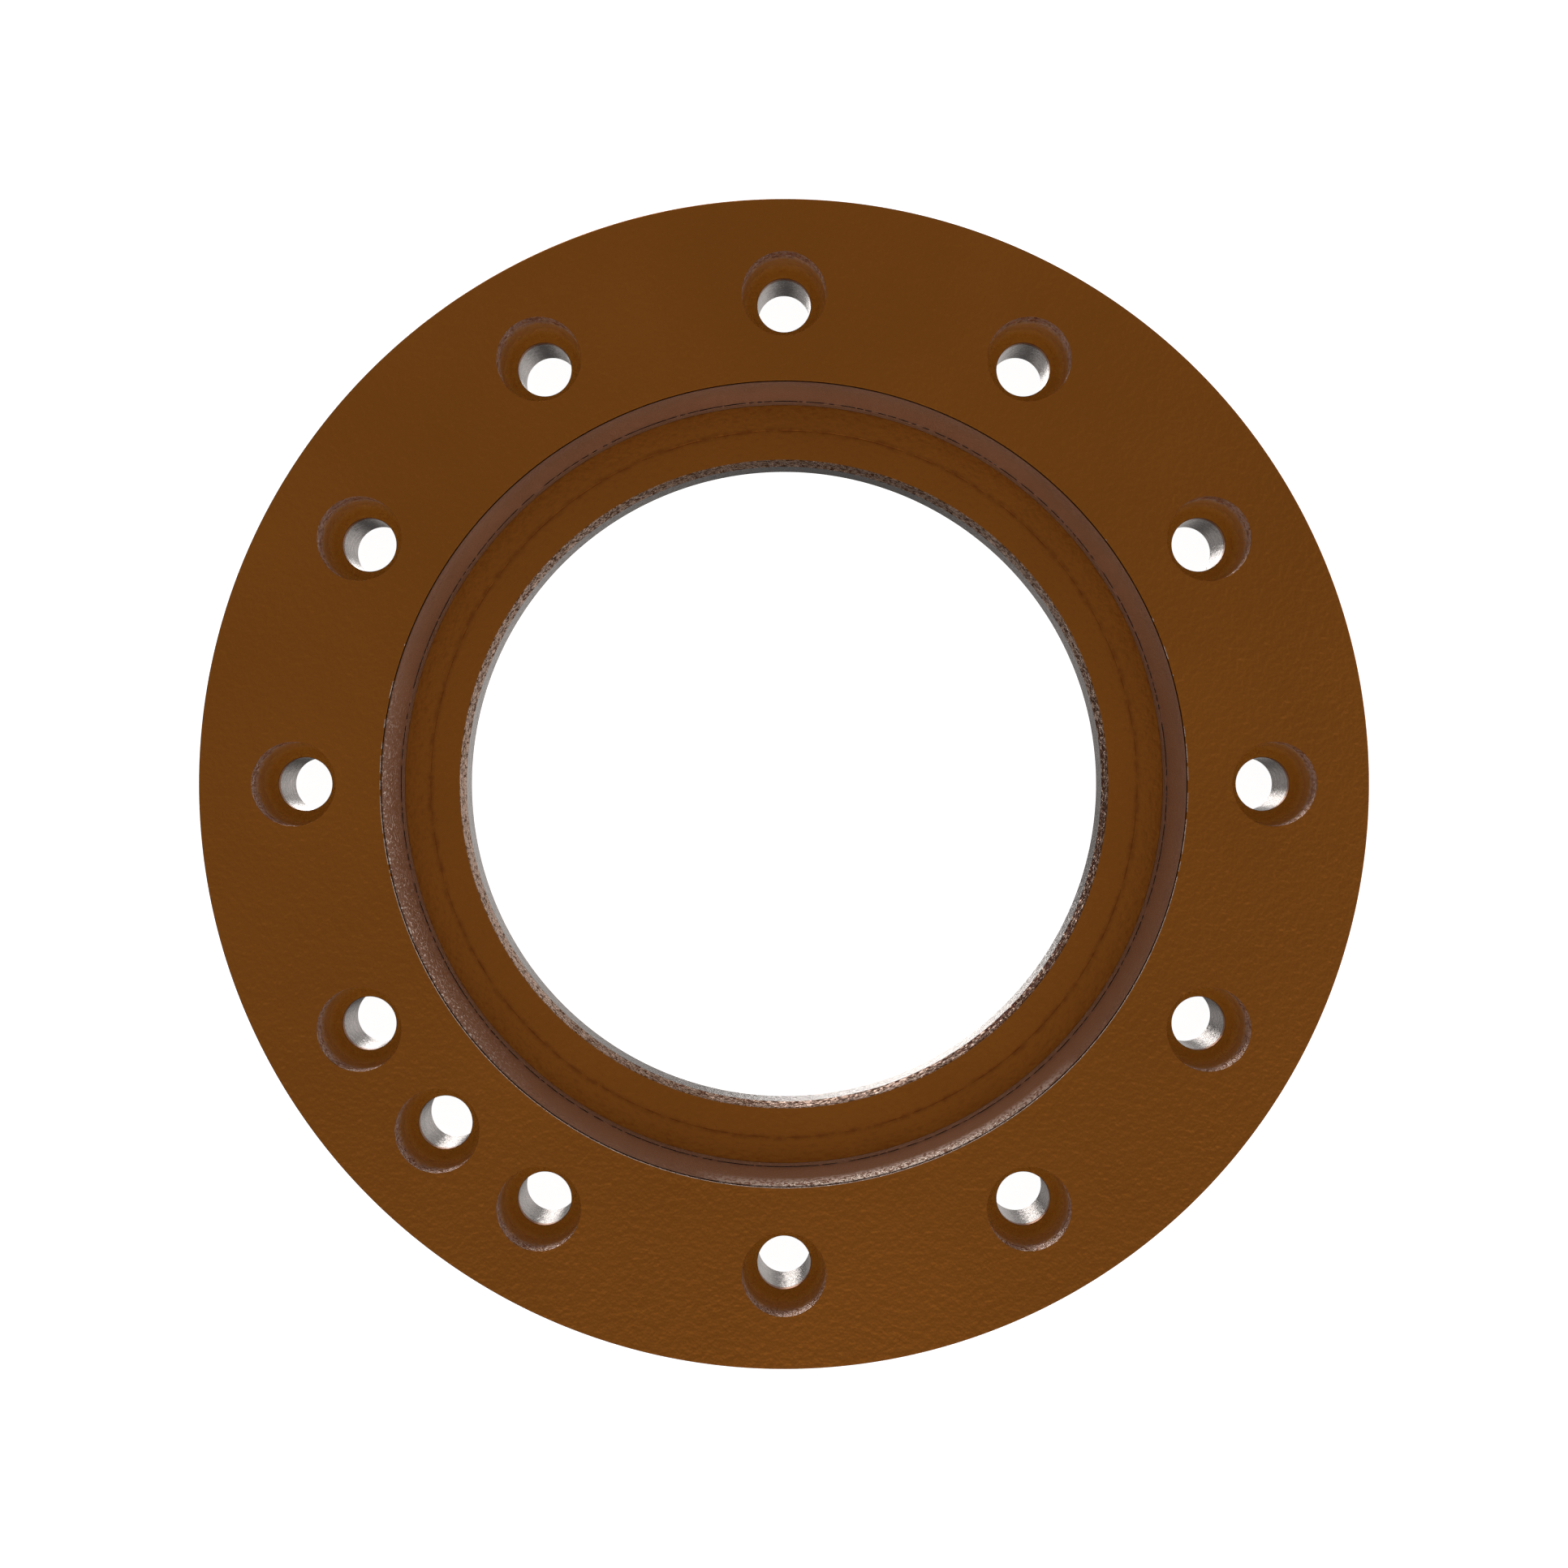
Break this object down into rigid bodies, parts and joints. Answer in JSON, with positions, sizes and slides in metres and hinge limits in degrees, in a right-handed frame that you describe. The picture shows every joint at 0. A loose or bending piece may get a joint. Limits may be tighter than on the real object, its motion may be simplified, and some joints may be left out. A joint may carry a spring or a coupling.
{
  "type": "flange",
  "caption": "Round bored ring flange, brown coated, with a recessed tapered seat and steel-bushed counterbored bolt holes.",
  "frame": {"origin": "centre of the bore axis on the back face", "axes": "+Z along the bore axis, from the back face towards the recessed front face; +X towards a bolt hole, so the index hole is at 225 degrees from +X"},
  "size_m": [0.47, 0.47, 0.052],
  "materials": {
    "body_coating": "satin brown metallic coating over a fine cast skin",
    "seat_coating": "satin purple-brown coating, smoother than the body",
    "bare_steel": "bare bored steel with fine tool marks"
  },
  "bodies": {
    "root": {"flange_body": "body_coating", "seat_ring": "seat_coating", "bore_sleeve": "bare_steel", "bolt_bush_01": "bare_steel", "bolt_bush_02": "bare_steel", "bolt_bush_03": "bare_steel", "bolt_bush_04": "bare_steel", "bolt_bush_05": "bare_steel", "bolt_bush_06": "bare_steel", "bolt_bush_07": "bare_steel", "bolt_bush_08": "bare_steel", "bolt_bush_09": "bare_steel", "bolt_bush_10": "bare_steel", "bolt_bush_11": "bare_steel", "bolt_bush_12": "bare_steel", "index_bush": "bare_steel"}
  },
  "joints": []
}
